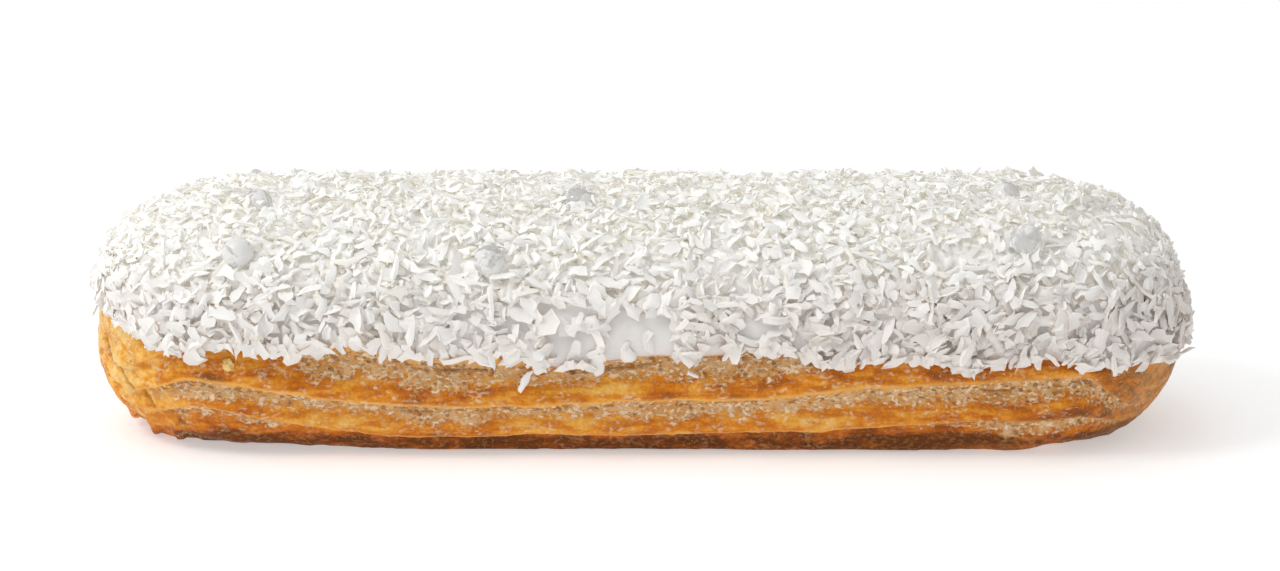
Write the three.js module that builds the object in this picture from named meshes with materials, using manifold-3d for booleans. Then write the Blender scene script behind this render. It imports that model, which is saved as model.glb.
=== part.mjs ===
// Coconut eclair: a piped choux bar, its upper half dipped in white icing and strewn with coconut flakes
// and a few clear sugar pearls. Units are millimetres, +Z is up, +X runs along the bar, -Y is the front,
// and the origin is the middle of the flat base.
import * as THREE from "three";
import { mergeVertices } from "three/addons/utils/BufferGeometryUtils.js";
import Module from "manifold-3d";

const wasm = await Module();
wasm.setup();

// Driving dimensions of the choux bar
const HALF_LENGTH = 68.5;
const HALF_WIDTH = 19.3;
const TIP_HEIGHT = 13.5; // height of the two tips and of the widest line
const RISE = 15.6; // widest line up to the top of the choux
const DROP = 18; // widest line down to the round belly, before the base is cut flat
const CAP_LENGTH = 24; // stretch over which each end rounds off
const STRAIGHT = HALF_LENGTH - CAP_LENGTH;
const SECTION_POWER = 2.2; // 2 is an ellipse, more is squarer
const PLAN_POWER = 2.6; // how full the ends are, seen from above
const CROWN_POWER = 3; // the same, seen from the side above the tips
const BELLY_POWER = 2; // and below them
const TIP_GROWTH = 0.75; // a coat is this share of its thickness at the tips
const CHOUX_SECTIONS = { middle: 12, cap: 11 };

// Piped ridges, as angles in degrees round the bar: 0 is the front, 90 the top, -90 the underside
const RIDGE_PITCH = 15.6;
const RIDGE_SPREAD = 0.88; // share of the way between two lips that a ridge takes, the rest is a step
const FIRST_LIP = -3.1;
const RIDGES_A_SIDE = 6;
const RIDGE_DEPTH = 1.7;
const RIDGE_PHASES = [0.09, 0.42, 0.8, 1]; // from under the lip above to the ridge's own lip
const RIDGE_RELIEF = [-0.55, 0.1, 0.5, 0.28]; // shares of the ridge depth
const RIDGE_FADE = [0.1, 0.5]; // shares of the full section between which the ridges die out at a tip
const SMOOTH_ROWS = 5; // from the top down to the first ridge, under the icing
const TWISTS = [
  { side: 1, from: -10, to: 45, turn: 12.5 },
  { side: 1, from: 54, to: 67, turn: -52 },
  { side: -1, from: 20, to: 58, turn: 9 },
  { side: -1, from: 55, to: 66, turn: -20 },
];
const LIP_WAVES = [
  { size: 1.3, length: 56.5, shift: 2.1 },
  { size: 0.8, length: 27, shift: 1.3 },
];
const BACK_PHASE = 3; // sets the waves of the back apart from those of the front

// Icing
const GAP = 0.3; // between the icing and the choux
const ICING = 2;
const ICING_EDGE = 14.2; // height of the edge at the middle of the bar
const ICING_EDGE_SLOPE = 0.6; // fall from the middle to the right tip, and rise to the left tip
const ICING_EDGE_FALL = { from: 25, size: 2.6 }; // further fall towards the right tip
const ICING_EDGE_WAVES = [
  { size: 0.65, length: 47, shift: 0.6 },
  { size: 0.45, length: 17, shift: 2.1 },
];
const EDGE_BACK_SHIFT = 1.9;
const EDGE_STEPS = 36;
const ICING_SECTIONS = { middle: 7, cap: 9 };
const ICING_ANGLES = 26;

// Flakes and pearls
const FLAKE_COUNT = 214;
const FLAKE_SPACING = 4.8;
const FLAKE_LENGTH = [4, 7];
const FLAKE_WIDTH = [1.6, 2.9];
const FLAKE_THICKNESS = 0.7;
const FLAKE_POINT = [0.1, 0.7]; // share of its width that a flake loses towards its free end
const FLAKE_SKEW = 0.3;
const FLAKE_LEAN = [5, 19];
const FLAKE_ROLL = 18;
const FLAKE_ANGLES = [-8, 188];
const FLAKE_EDGE_ROOM = 0.4; // a flake's middle lies at least this far above the icing's edge
const PLASTIC_NUMBER = 1.32471795724; // its powers give an even spread over a surface
const MOST_TRIES = 6000;
const PEARL_RADIUS = 2;
const PEARL_SINK = 1.5;
const PEARL_SIDES = 7;
const PEARL_RINGS = 5;
const PEARLS = [
  { x: -51.7, angle: 48 },
  { x: -49, angle: 79 },
  { x: -19.2, angle: 44 },
  { x: -8.2, angle: 80 },
  { x: 46.8, angle: 87 },
  { x: 49.9, angle: 54 },
  { x: 22, angle: 130 },
  { x: -33, angle: 138 },
];
const SEED = 20260;

const rad = THREE.MathUtils.degToRad;
const mix = THREE.MathUtils.lerp;
const smoothstep = THREE.MathUtils.smoothstep;

// A repeatable stream of numbers from 0 to 1.
function randomStream(seed) {
  let state = seed;
  return () => {
    state = (state + 0x6d2b79f5) | 0;
    let t = Math.imul(state ^ (state >>> 15), 1 | state);
    t = (t + Math.imul(t ^ (t >>> 7), 61 | t)) ^ t;
    return ((t ^ (t >>> 14)) >>> 0) / 2 ** 32;
  };
}

// A sum of sine waves along X, each moved on by phase times its own shift.
function waves(list, x, phase) {
  return list.reduce(
    (sum, { size, length, shift }) => sum + size * Math.sin((2 * Math.PI * x) / length + phase * shift),
    0,
  );
}

// How much of the full section is left at X: 1 along the straight middle, 0 at a tip.
function taper(x, power) {
  const into = Math.max(0, Math.abs(x) - STRAIGHT) / CAP_LENGTH;
  return Math.max(0, 1 - into ** power) ** (1 / power);
}

// A point of the plain bar at X and an angle in degrees, with the whole bar grown outwards by grow.
function barPoint(x, angle, grow = 0) {
  const power = 2 / SECTION_POWER;
  const c = Math.cos(rad(angle));
  const s = Math.sin(rad(angle));
  const across = Math.sign(c) * Math.abs(c) ** power;
  const up = Math.sign(s) * Math.abs(s) ** power;
  const height = s > 0 ? (RISE + grow) * taper(x, CROWN_POWER) : (DROP + grow) * taper(x, BELLY_POWER);
  return new THREE.Vector3(
    x * (1 + (TIP_GROWTH * grow) / HALF_LENGTH),
    -(HALF_WIDTH + grow) * taper(x, PLAN_POWER) * across,
    TIP_HEIGHT + height * up,
  );
}

function tipPoint(side, grow = 0) {
  return new THREE.Vector3(side * (HALF_LENGTH + TIP_GROWTH * grow), 0, TIP_HEIGHT);
}

// X of the sections, from left to right: even along the middle, closer together towards the tips.
function sectionStations({ middle, cap }) {
  const half = [];
  for (let i = 1; i < cap; i++) {
    half.push(STRAIGHT + CAP_LENGTH * Math.sin((i / cap) * (Math.PI / 2)) ** (2 / PLAN_POWER));
  }
  const straight = [];
  for (let i = 0; i <= middle; i++) {
    straight.push(mix(-STRAIGHT, STRAIGHT, i / middle));
  }
  return [...half.map((x) => -x).reverse(), ...straight, ...half];
}

// A closed skin over rings of points, each ring the same length, with one point at either end.
function loft(rings, first, last) {
  const count = rings[0].length;
  const points = [first, ...rings.flat(), last];
  const end = points.length - 1;
  const at = (ring, i) => 1 + ring * count + (i % count);
  const index = [];
  for (let i = 0; i < count; i++) {
    index.push(0, at(0, i + 1), at(0, i));
    index.push(end, at(rings.length - 1, i), at(rings.length - 1, i + 1));
    for (let r = 0; r + 1 < rings.length; r++) {
      index.push(at(r, i), at(r + 1, i + 1), at(r + 1, i));
      index.push(at(r, i), at(r, i + 1), at(r + 1, i + 1));
    }
  }
  return new THREE.BufferGeometry().setFromPoints(points).setIndex(index);
}

// A closed geometry as a solid for cutting and joining.
function solid(geometry) {
  const bare = new THREE.BufferGeometry();
  bare.setAttribute("position", geometry.getAttribute("position"));
  bare.setIndex(geometry.index);
  const merged = mergeVertices(bare, 1e-4);
  return new wasm.Manifold(
    new wasm.Mesh({
      numProp: 3,
      vertProperties: new Float32Array(merged.getAttribute("position").array),
      triVerts: new Uint32Array(merged.index.array),
    }),
  );
}

function geometryOf(made) {
  const { numProp, vertProperties, triVerts } = made.getMesh();
  const geometry = new THREE.BufferGeometry();
  const interleaved = new THREE.InterleavedBuffer(vertProperties, numProp);
  geometry.setAttribute("position", new THREE.InterleavedBufferAttribute(interleaved, 3, 0));
  geometry.setIndex(new THREE.BufferAttribute(triVerts, 1));
  return geometry.toNonIndexed();
}

function largestBody(made) {
  return made.decompose().reduce((best, body) => (body.volume() > best.volume() ? body : best));
}

// How far the piped ridges turn upwards round the bar at X, in degrees: they rise towards the ends, and dive
// under the tips.
function ridgeTwist(x) {
  return TWISTS.reduce((sum, { side, from, to, turn }) => sum + turn * smoothstep(side * x, from, to), 0);
}

// The angle of a ridge's lip at X: the lips under the bar keep their places, the upper ones turn and wave.
function lipAngle(x, ridge, phase) {
  const hold = 1 - Math.max(0, ridge) / (RIDGES_A_SIDE - 1);
  return FIRST_LIP - ridge * RIDGE_PITCH + hold * (ridgeTwist(x) + waves(LIP_WAVES, x, ridge + phase));
}

// Points of one side of a section, from the top down to the middle of the underside, as angle and relief.
function sideRows(x, phase) {
  const rows = [];
  const depth = RIDGE_DEPTH * smoothstep(taper(x, PLAN_POWER), ...RIDGE_FADE);
  for (let ridge = 0; ridge < RIDGES_A_SIDE; ridge++) {
    const lip = lipAngle(x, ridge, phase);
    const height = RIDGE_SPREAD * (lipAngle(x, ridge - 1, phase) - lip);
    RIDGE_PHASES.forEach((part, i) => {
      rows.push({ angle: lip + (1 - part) * height, relief: RIDGE_RELIEF[i] * depth });
    });
  }
  rows.push({ angle: -90, relief: RIDGE_RELIEF[0] * depth });
  const smooth = [...Array(SMOOTH_ROWS).keys()].map((i) => mix(90, rows[0].angle, i / SMOOTH_ROWS));
  return [...smooth.map((angle) => ({ angle, relief: 0 })), ...rows];
}

// The ridged bar, whole and round, grown outwards by grow.
function roundChoux(grow) {
  const rings = sectionStations(CHOUX_SECTIONS).map((x) => {
    const front = sideRows(x, 0);
    const back = sideRows(x, BACK_PHASE).slice(1, -1).reverse();
    return [
      ...front.map(({ angle, relief }) => barPoint(x, angle, relief + grow)),
      ...back.map(({ angle, relief }) => barPoint(x, 180 - angle, relief + grow)),
    ];
  });
  return solid(loft(rings, tipPoint(-1, grow), tipPoint(1, grow)));
}

function chouxBar() {
  const under = new THREE.BoxGeometry(3 * HALF_LENGTH, 4 * HALF_WIDTH, DROP);
  under.translate(0, 0, -DROP / 2);
  return roundChoux(0).subtract(solid(under));
}

function icingEdge(x, y) {
  const fall = ICING_EDGE_FALL.size * smoothstep(x, ICING_EDGE_FALL.from, HALF_LENGTH);
  const back = y < 0 ? 0 : EDGE_BACK_SHIFT;
  const slope = (ICING_EDGE_SLOPE * x) / HALF_LENGTH;
  return ICING_EDGE - slope - fall + waves(ICING_EDGE_WAVES, x, 1 + back);
}

// The bar grown by the icing's thickness, cut off along a wavy edge.
function icingDome() {
  const angles = [...Array(ICING_ANGLES).keys()].map((i) => 90 - (i / ICING_ANGLES) * 360);
  const rings = sectionStations(ICING_SECTIONS).map((x) => angles.map((angle) => barPoint(x, angle, ICING)));
  const dome = solid(loft(rings, tipPoint(-1, ICING), tipPoint(1, ICING)));
  const depth = 2 * DROP;
  const below = new THREE.BoxGeometry(2.4 * HALF_LENGTH, 3 * HALF_WIDTH, depth, EDGE_STEPS, 2, 1);
  const place = below.getAttribute("position");
  for (let i = 0; i < place.count; i++) {
    const height = place.getZ(i) > 0 ? icingEdge(place.getX(i), place.getY(i)) : -depth;
    place.setZ(i, height);
  }
  return dome.subtract(solid(below));
}

// A frame on the icing's face, or sunk below it: Z points out of the icing, X runs along the bar.
function icingFrame(x, angle, sink) {
  const step = 0.5;
  const along = barPoint(x + step, angle, ICING).sub(barPoint(x - step, angle, ICING));
  const round = barPoint(x, angle + step, ICING).sub(barPoint(x, angle - step, ICING));
  const out = along.clone().cross(round).normalize();
  const axis = along.normalize();
  const origin = barPoint(x, angle, ICING).addScaledVector(out, -sink);
  return new THREE.Matrix4().makeBasis(axis, out.clone().cross(axis), out).setPosition(origin);
}

// Evenly spread places on the icing: a steady sequence, keeping only those clear of all before them. X is
// spread along the crown line, so that the steep ends get as many as the top.
function flakePlaces() {
  const stations = sectionStations(CHOUX_SECTIONS);
  const crown = new THREE.CatmullRomCurve3([
    tipPoint(-1),
    ...stations.map((x) => barPoint(x, 90)),
    tipPoint(1),
  ]);
  const places = [];
  for (let i = 1; places.length < FLAKE_COUNT && i < MOST_TRIES; i++) {
    const { x } = crown.getPointAt((i / PLASTIC_NUMBER) % 1);
    const angle = mix(...FLAKE_ANGLES, (i / PLASTIC_NUMBER ** 2) % 1);
    const point = barPoint(x, angle, ICING);
    const iced = point.z > icingEdge(point.x, point.y) + FLAKE_EDGE_ROOM;
    const onBar = Math.abs(x) < HALF_LENGTH - FLAKE_EDGE_ROOM;
    if (onBar && iced && places.every((other) => other.point.distanceTo(point) > FLAKE_SPACING)) {
      places.push({ x, angle, point });
    }
  }
  return places;
}

// One torn coconut flake: a thin slab, narrower at one end, leaning out of the icing that holds the other.
function flake(place, random) {
  const length = mix(...FLAKE_LENGTH, random());
  const width = mix(...FLAKE_WIDTH, random());
  const point = mix(...FLAKE_POINT, random());
  const skew = mix(-FLAKE_SKEW, FLAKE_SKEW, random());
  const slab = new THREE.BoxGeometry(length, width, FLAKE_THICKNESS);
  const vertex = slab.getAttribute("position");
  for (let i = 0; i < vertex.count; i++) {
    const free = vertex.getX(i) / length + 0.5;
    vertex.setX(i, vertex.getX(i) + skew * vertex.getY(i));
    vertex.setY(i, vertex.getY(i) * (1 - point * free));
  }
  const spin = new THREE.Matrix4().makeRotationZ(random() * 2 * Math.PI);
  const lean = new THREE.Matrix4().makeRotationY(-rad(mix(...FLAKE_LEAN, random())));
  const roll = new THREE.Matrix4().makeRotationX(rad(mix(-FLAKE_ROLL, FLAKE_ROLL, random())));
  const frame = icingFrame(place.x, place.angle, 0);
  return solid(slab.applyMatrix4(frame.multiply(spin).multiply(lean).multiply(roll)));
}

function pearl({ x, angle }) {
  const ball = new THREE.SphereGeometry(PEARL_RADIUS, PEARL_SIDES, PEARL_RINGS);
  return solid(ball.applyMatrix4(icingFrame(x, angle, PEARL_SINK - PEARL_RADIUS)));
}

function icedTop() {
  const random = randomStream(SEED);
  const toppings = [...flakePlaces().map((place) => flake(place, random)), ...PEARLS.map(pearl)];
  const whole = wasm.Manifold.union([icingDome(), ...toppings]);
  return largestBody(whole.subtract(roundChoux(GAP)));
}

function piece(name, made, colour, roughness) {
  const material = new THREE.MeshStandardMaterial({ color: colour, roughness, metalness: 0 });
  const mesh = new THREE.Mesh(geometryOf(made), material);
  mesh.name = name;
  return mesh;
}

const eclair = new THREE.Group();
eclair.add(piece("choux", chouxBar(), 0xc78a45, 0.55));
eclair.add(piece("coconut_icing", icedTop(), 0xece9e2, 0.6));

export default eclair;
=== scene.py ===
# Looks of a coconut eclair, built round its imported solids: baked choux with torn ridges, white icing, a cover
# of coconut flakes, clear sugar pearls and a few crumbs. Shapes are worked out in millimetres, and a mesh is
# made in metres. X runs along the bar, -Y is the front and Z is up. Angles go round the bar in degrees: 0 is
# the front, 90 the top and -90 the underside. A smooth step is given by the values where it starts and ends.
import math

import bmesh
import bpy
import numpy as np
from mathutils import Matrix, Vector, noise


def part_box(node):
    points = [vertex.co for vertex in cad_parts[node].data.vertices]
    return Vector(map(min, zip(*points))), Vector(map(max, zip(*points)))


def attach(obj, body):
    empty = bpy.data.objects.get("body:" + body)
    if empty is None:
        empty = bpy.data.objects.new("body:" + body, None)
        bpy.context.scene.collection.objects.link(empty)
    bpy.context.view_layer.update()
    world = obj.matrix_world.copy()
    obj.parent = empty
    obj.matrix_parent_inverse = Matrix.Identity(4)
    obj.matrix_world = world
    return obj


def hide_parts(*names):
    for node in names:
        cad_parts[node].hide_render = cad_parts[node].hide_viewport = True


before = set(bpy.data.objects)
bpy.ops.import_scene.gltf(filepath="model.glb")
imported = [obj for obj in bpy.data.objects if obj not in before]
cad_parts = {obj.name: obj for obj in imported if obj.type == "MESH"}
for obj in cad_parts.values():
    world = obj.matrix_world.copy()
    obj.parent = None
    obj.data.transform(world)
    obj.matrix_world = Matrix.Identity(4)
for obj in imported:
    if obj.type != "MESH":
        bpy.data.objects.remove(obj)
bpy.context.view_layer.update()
MM = 0.001
NEAR_ZERO = 1e-9
CHOUX_TOP = np.array(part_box("choux")[1]) / MM

# The choux bar, as its solid has it. Powers and reaches are for the left end and the right end
HALF_LENGTH = CHOUX_TOP[0]
HALF_WIDTH = 19.3
TIP_HEIGHT = 13.5
RISE = CHOUX_TOP[2] - TIP_HEIGHT
DROP = 18
CAP_LENGTH = 24
STRAIGHT = HALF_LENGTH - CAP_LENGTH
SECTION_POWER = 2.2
PLAN_POWER = 2.6
CROWN_POWERS = (2.8, 2.5)
BELLY_POWERS = (2.6, 2.1)
LEFT_DROP = 0.92  # share of the drop that is left at the left end
LEFT_DROP_STEP = (-28, -50)
END_REACH = (1.6, 0.8)  # how far the ends reach past the plain shape
TIP_GROWTH = 0.2  # share of a coat's thickness that is left at the tips
FRAME_STEP = 0.4  # millimetres or degrees from a place to those beside it

# Random fields: size of their features and seed, with a height first where they raise the skin
FIELD_SHIFT = Vector((13.7, 5.1, 9.3))
CELL_SHIFT = Vector((3.1, 8.7, 1.9))
LINE_SPACING = 7.3
PATCHES = (7, 1)
RAGS = (1.5, 2)
LUMPS = ((0.45, 15, 3), (0.22, 4.5, 4))
PORES = (1.05, 5)
PORE_GROUPS = (3.5, 6)
SPLITS = (5, 7)
CRUMB_GRAIN = (0.9, 8)
SKIN_GRAIN = (0.7, 9)
ICING_SWELL = (0.16, 8, 11)
FOLDS = (4.6, 12)
PILE_LUMPS = (4.5, 21)

# Piped ridges
RIDGE_PITCH = 15.6
FIRST_LIP = -3.1
LIP_LIFT = 2.4
RIDGES_A_SIDE = 6
RIDGE_DEPTH = 1.7
RIDGE_PROFILE = (  # share of the way from the lip above to the ridge's own, and share of its depth
    (0, 0.26), (0.04, 0.06), (0.1, -0.16), (0.2, -0.26), (0.34, -0.18), (0.5, 0.06),
    (0.7, 0.34), (0.86, 0.46), (0.95, 0.4), (1, 0.26),
)
RIDGE_FADE = ((0.02, 0.3), (0.06, 0.42))  # steps of the bar's width at the left end and at the right end
DEPTH_MEAN = 0.95
DEPTH_WAVE = (0.35, 16, 40)  # share, length and first seed
TWISTS = ((1, -10, 45, 12.5), (1, 54, 67, -52), (-1, 20, 58, 9), (-1, 55, 66, -20))  # side, start, end, turn
LIP_WAVES = ((1.3, 56.5, 2.1), (0.8, 27, 1.3))  # size, length, shift
LIP_RAGS = ((0.9, 7, 2), (0.5, 1.8, 20))  # size, length and first seed
LIP_BUMPS = ((2, -53, 6, 6.5), (2, -31, 8, -3), (2, 24, 8, -4))  # ridge, X, half length, turn
BACK_PHASE = 3
SMOOTH_ROWS = 5
ROWS_A_RIDGE = (9, 25, 25, 16, 7, 6)
ROW_CROWDING = 0.07
CHOUX_SECTIONS = (350, 92)  # along the middle and along a cap
TUCK = 0.5
TUCK_SHARE = 0.2
BASE_RIDGE = 3  # the first ridge of the brown base

# Relief of the choux
CRUST_GRAIN = (0.4, 1, 1)
FOLD_GRAIN = (0.7, 1, 1)
ICING_COVER_STEP = (0.9, -0.6)  # heights over the icing's edge
LEFT_CAP_STEP = (-59, -64)
FOLD_RISE = 0.6
FOLD_FALL = 2
TOOTH_PITCH = 3.1
TOOTH_SIZE = 0.95
TOOTH_HEIGHTS = (4, 2)
TEETH_STEPS = ((-67, -64), (-55, -58))
LIFT_HEIGHTS = (0.1, 1.2)
CRUMB_ROUGHNESS = 0.1
SKIN_ROUGHNESS = 0.05

# Torn crumb, in shares of the way down a ridge and in steps along X
TORN_BASE = 0.1
TORN_RIDGE = 0.45
TORN_WANDER = 0.2
TORN_ENDS = (0.2, 0.32)  # added to the base at the left end and at the right end
TORN_END_STEP = (38, 48)
TORN_SOFTNESS = 0.18
TOP_TEAR_STEPS = ((-52, -36), (62, 56))
CRUMB_STEP = (-63, -56)
RIGHT_CAP_CRUMB = (0.1, 56, 64)  # amount and step
PORE_EDGE = (0.36, 0.16)
PORE_GROUP_EDGE = (-0.1, 0.25)
PORE_TOP = (0.02, 0.1)
PORE_DEPTH = 0.34
SPLIT_PLACE = 0.2
SPLIT_WANDER = (0.1, 0.05)
SPLIT_WIDTH = (0.045, 0.01)
SPLIT_RUNS = (0.05, 0.3)
SPLIT_DEPTH = 0.3
LEFT_CRACK = ((-67, -1), (-64.2, -18), (-61, -29), (-57, -39))  # X and angle
CRACK_WANDER = 2.5
CRACK_WIDTH = 0.45
CRACK_DEPTH = 0.45
PORE_ROW = 0.17
PORE_ROW_WANDER = 0.06
PORE_ROW_WIDTH = (0.1, 0.03)
PORE_ROW_CRUMB = (0, 0.5)

# Browning of the crust, from 0 for pale to 1 for dark brown, with painted shade added at the foot, along the
# brown base and in the creases of the left cap, and the painted highlights along the lips
TOAST = 0.5
TOAST_PATCHES = 0.2
TOAST_RAGS = 0.1
TOAST_ALONG = ((0.07, 10, 40), (0.2, 50, 62), (-0.4, -52, -65))  # amount and step along X
TOAST_LOW_LEFT = (0.08, -36, -44)
# Painted shade: the creases between the folds of the left cap are painted darker orange
FOLD_SHADE = 0.2
FOLD_EDGE = (0.3, 0.65)
TIP_TOAST = 0.4
# The foot is darker: partly baked browner, partly painted shade near the floor
FOOT_TOAST_AND_SHADE = 0.42
FOOT_HEIGHTS = (3.4, 1.6)
FOOT_RAGS = 0.5
FOOT_FADE = (0.4, 38, 48)
# The brown base band: partly baked browner, partly painted shade on the underside
BASE_TOAST_AND_SHADE = 0.705
BASE_UNDER = 0.2
BASE_SHARES = (0.1, 0.6)
BASE_STEPS = ((-44, -34), (46, 30))
# Painted highlight: a lighter yellow line along each lip, fading towards the right end
LIP_HIGHLIGHT_SHARES = (0.88, 0.96)
LIP_HIGHLIGHT_STEP = (75, 20)
RIGHT_CAP_GLOW = (0.4, 54, 64)

# Icing
ICING_COAT = 1.35
ICING_LIP = 0.3
ICING_INSIDE = 0.02
ICING_ROUNDING = 2.8
ICING_SHADE_REACH = 9  # height above its edge at which the painted shade starts
ICING_EDGE = 13.7
ICING_EDGE_SLOPE = 0.6
ICING_EDGE_FALL = (25, 2)  # X where it starts, and size
ICING_EDGE_RISE = (-54, 2.5)
ICING_EDGE_DIP = (-3.5, 8, 1.1)  # X, half length and size
ICING_EDGE_WAVES = ((0.65, 47, 0.6), (0.45, 17, 2.1))
ICING_EDGE_RAGS = ((0.28, 5, 60), (0.12, 1.6, 70))
EDGE_BACK_SHIFT = 1.9
EDGE_TABLE = 361
ICING_SECTIONS = (170, 60)
ICING_ROWS = 90
ICING_CROWDING = 0.1
ICING_UNDER_ROWS = 16

# Coconut flakes: how many are dropped, their sizes, steps along a flake, points across its upper face, and
# the share of its width that is left at its ends
FLAKE_KINDS = {
    "coconut_bits": {
        "count": 14000, "length": (0.7, 1.7), "width": (0.45, 1.1), "thickness": 0.32,
        "steps": 2, "across": 3, "ends": (0.5, 1),
    },
    "coconut_flakes": {
        "count": 9500, "length": (1.4, 2.9), "width": (0.8, 1.7), "thickness": 0.38,
        "steps": 4, "across": 4, "ends": (0.45, 1),
    },
    "coconut_shreds": {
        "count": 2600, "length": (1.9, 3.8), "width": (0.5, 1), "thickness": 0.4,
        "steps": 4, "across": 3, "ends": (0.4, 1),
    },
}
COARSE = (0.85, 1.3)  # size of flakes on the crown and at the sides
COARSE_STEP = (60, 0)
FLAKE_LEAN = 13
FLAKE_ROLL = 19
STEEPEST = 0.75
FLAKE_SHARP = 50
END_POWERS = (1.5, 4)
FLAKE_EDGE = 0.25
FLAKE_SKEW = 0.35
END_TEAR = 0.14
END_TEAR_POWER = 3
FLAKE_SWAY = 0.1
FLAKE_BEND = (-0.02, 0.045)  # mean and spread, as for the curl
FLAKE_CURL = (0.08, 0.22)
FLAKE_TWIST = 0.16
FLAKE_THINNESS = (0.6, 1.15)
END_THICKNESS = 0.45
CRINKLE = 0.03
SHADE_HEIGHTS = (28, 15)  # painted shade: flakes are painted greyer down the sides, most of all on the right
SHADE_AT_LEFT = 0.6
SHADE_STEP = (-20, 40)

# The pile of flakes
PILE_CELL = 0.5
PILE_MARGIN = 4
PILE_REACH = 1.2
PILE_LIMIT = 0.9
PILE_AT_TIPS = 0.25
PILE_UNEVEN = 0.9
PILE_OVERFLOW = 0.3
SMALLEST_RADIUS = 2
FOOTPRINT = (7, 3)  # points along and across a flake at which it feels the pile
CROWN_SECTIONS = (120, 60)
FIRST_ANGLE = -22
ANGLE_RANGE = 224
EDGE_MARGIN = 0.25
EDGE_BAND = 2.4
HANGING_SHARE = 0.25
HANGING_SPREAD = 0.6
BARE_PATCHES = (  # X, angle, half length in millimetres, half height in degrees
    (-12.5, 16, 4.5, 5.5), (-5.5, 13, 5.5, 7), (0, 8, 4.8, 8.5), (-8, 4.5, 4.5, 4.5),
    (13.9, 12, 1.9, 4.5), (8.5, 4, 2.4, 3), (45.4, 4, 1.6, 3.6), (62, 3, 1.7, 4),
    (-30, 172, 5, 5), (25, 170, 3, 5),
)
BARE_OVERLAP = 0.2
BARE_SCATTER = 0.07  # share of the flakes falling on a bare patch that stick to it
LOOSE_FLAKES = (  # X, angle, spin in degrees, length and width, of flakes dropped onto the choux
    (-14.6, -7, 65, 3, 0.9), (6.3, -5, -25, 1.4, 0.5), (-32, 186, 40, 3, 1), (18, 188, 110, 2.4, 0.8),
)
LOOSE_STAND = 0.9
PLASTIC_NUMBER = 1.32471795724
SEED = 20260

# Pearls and crumbs. A form is a ball's detail, how uneven it is, the size of its bumps, and its squash
PEARL_RADIUS = 2
PEARL_FORM = (5, 0.025, 1.3, 0.97)
PEARL_GRID = 17
PEARLS = (  # X, angle and height of the centre above the choux
    (-49.9, 43, 2.3), (-48.6, 75, 1.4), (-18.9, 39, 2.5), (-8.2, 76, 1.4), (46.2, 82, 1.2), (47.4, 49, 2.5),
    (22, 130, 2.3), (-33, 138, 2),
)
CRUMB_FORM = (4, 0.5, 0.7, 0.7)
CRUMB_STAND = 0.55
CRUMBS = ((-51.2, -2.5, 0.75), (-20, 187, 0.5))  # X, angle and radius
LUMP_OCTAVES = 2
FIRST_LUMP_SEED = 3

# Colours, as screen values from 0 to 255. In a ramp each follows the share at which it stands
CRUST_COLOURS = (
    (0, (248, 208, 126)), (0.26, (238, 174, 70)), (0.48, (220, 134, 22)),
    (0.66, (196, 104, 8)), (0.85, (144, 74, 12)), (1, (106, 54, 10)),
)
# Lighter yellow of the painted highlight along the lips, also mixed over the right cap as its own yellower tint
LIP_HIGHLIGHT_AND_CAP_COLOUR = (248, 190, 92)
TORN_COLOURS = ((0.3, (208, 146, 76)), (0.5, (224, 176, 116)), (0.7, (238, 202, 152)))
FLECK_COLOUR = (250, 226, 192)
BASE_FLECK_COLOUR = (204, 146, 82)
# Darker brown in pores, splits and the left crack: painted shade in these hollows
PORE_SHADE_COLOUR = (170, 102, 44)
# Darker brown over the foot and the base: partly baked browner, partly painted shade
BASE_BROWN_AND_SHADE_COLOUR = (106, 56, 8)
ICING_COLOURS = ((0.3, (246, 244, 240)), (0.7, (251, 249, 246)))
# Painted shade on the icing, greyer lower down towards its edge
ICING_SHADE_COLOUR = (237, 234, 231)
ICING_EDGE_COLOUR = (226, 210, 200)
COCONUT_COLOURS = (
    (0, (255, 254, 252)), (0.4, (254, 253, 249)), (0.75, (255, 255, 253)),
    (0.93, (255, 253, 248)), (1, (254, 251, 240)),
)
COCONUT_GRAIN_COLOUR = (253, 252, 247)
# Painted shade on the flakes, greyer down the sides of the coat
COCONUT_SHADE_COLOUR = (241, 236, 231)
PEARL_COLOURS = ((0.3, (250, 250, 250)), (0.7, (255, 255, 254)))
CRUMB_COLOURS = ((0.3, (226, 172, 84)), (0.7, (250, 224, 152)))
FLOOR_COLOURS = ((0.3, (216, 216, 216)), (0.7, (219, 219, 219)))

# Surfaces
NOISE_SPAN = (0.3, 0.7)  # where most values of a noise lie
LONG_GRAIN = (0.25, 1, 1)
SHORT_GRAIN = (0.6, 1, 1)
PORE_GRAIN = (0.7, 1, 1)
BROWN_BASE = (0.76, 0.9)  # browning at which the crust turns into the brown base
CHOUX_SCATTER = (0.0016, 0.0008, 0.0004)  # metres that red, green and blue light go inside
ICING_SCATTER = (0.0022, 0.0019, 0.0016)

# Floor, light and camera, in metres, watts and degrees
FLOOR_SIZE = 6
FLOOR_HEIGHT = -0.0003
FLOOR_GLOW = 0.43
LIGHT_TARGET = (0, 0, 0.015)
LIGHTS = {  # place, size and power
    "key": ((-0.3, -0.15, 0.38), 0.14, 0.72),
    "top": ((-0.4, -0.3, 1.8), 1.6, 5.5),
}
DOME_BRIGHTEST = (-0.5, 0.3, 0.8)  # the way to the brightest part of the dome of light
DOME_STRENGTH = (0.05, 0.8)  # at the part across from it and at that part
LIGHT_BOUNCES = 24
CAMERA_ELEVATION = 15
CAMERA_LENS = 100  # millimetres
CAMERA_DISTANCE = 0.4608
CAMERA_TARGET = (-0.00035, 0, 0.015)
CAMERA_LIFT = 0.0025
CAMERA_NEAR = 0.01


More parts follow.
